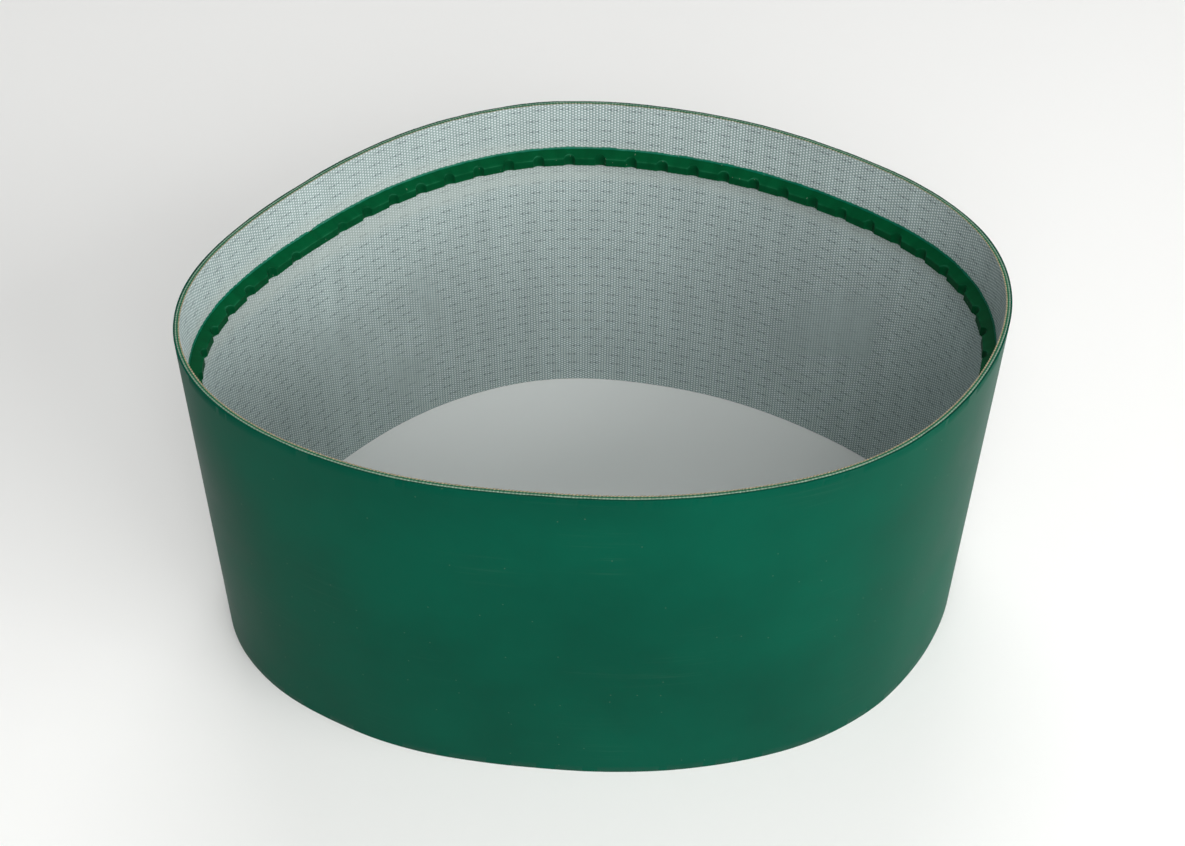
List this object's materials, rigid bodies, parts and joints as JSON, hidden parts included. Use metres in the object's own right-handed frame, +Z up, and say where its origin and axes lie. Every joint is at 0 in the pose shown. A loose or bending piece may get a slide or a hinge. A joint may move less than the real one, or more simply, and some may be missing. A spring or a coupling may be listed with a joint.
{
  "type": "endless conveyor belt with V-guide",
  "caption": "Endless two-ply conveyor belt loop with a smooth outer cover, a woven running face and a notched trapezoidal V-guide welded inside near one edge.",
  "frame": {"origin": "on the floor, at the middle of the loop's outer box in plan; the belt stands on its lower cut edge", "axes": "+Z up across the belt's width, +X along the loop's long axis"},
  "size_m": [0.527, 0.3818, 0.27],
  "materials": {
    "running_fabric": "plain-woven polyester, bare, light grey-green",
    "ply_fabric": "plain-woven polyester, seen only at the cut edges",
    "bond": "green PVC bond layer, cut edge",
    "cover": "smooth satin PVC, dark green",
    "guide": "extruded satin PVC, dark green",
    "weld": "melted PVC, slightly glossier than the guide"
  },
  "bodies": {
    "root": {"inner_ply": "running_fabric", "bond_layer": "bond", "outer_ply": "ply_fabric", "top_cover": "cover", "v_guide": "guide", "guide_joint_weld": "weld", "upper_weld_bead": "weld", "lower_weld_bead": "weld"}
  },
  "joints": []
}
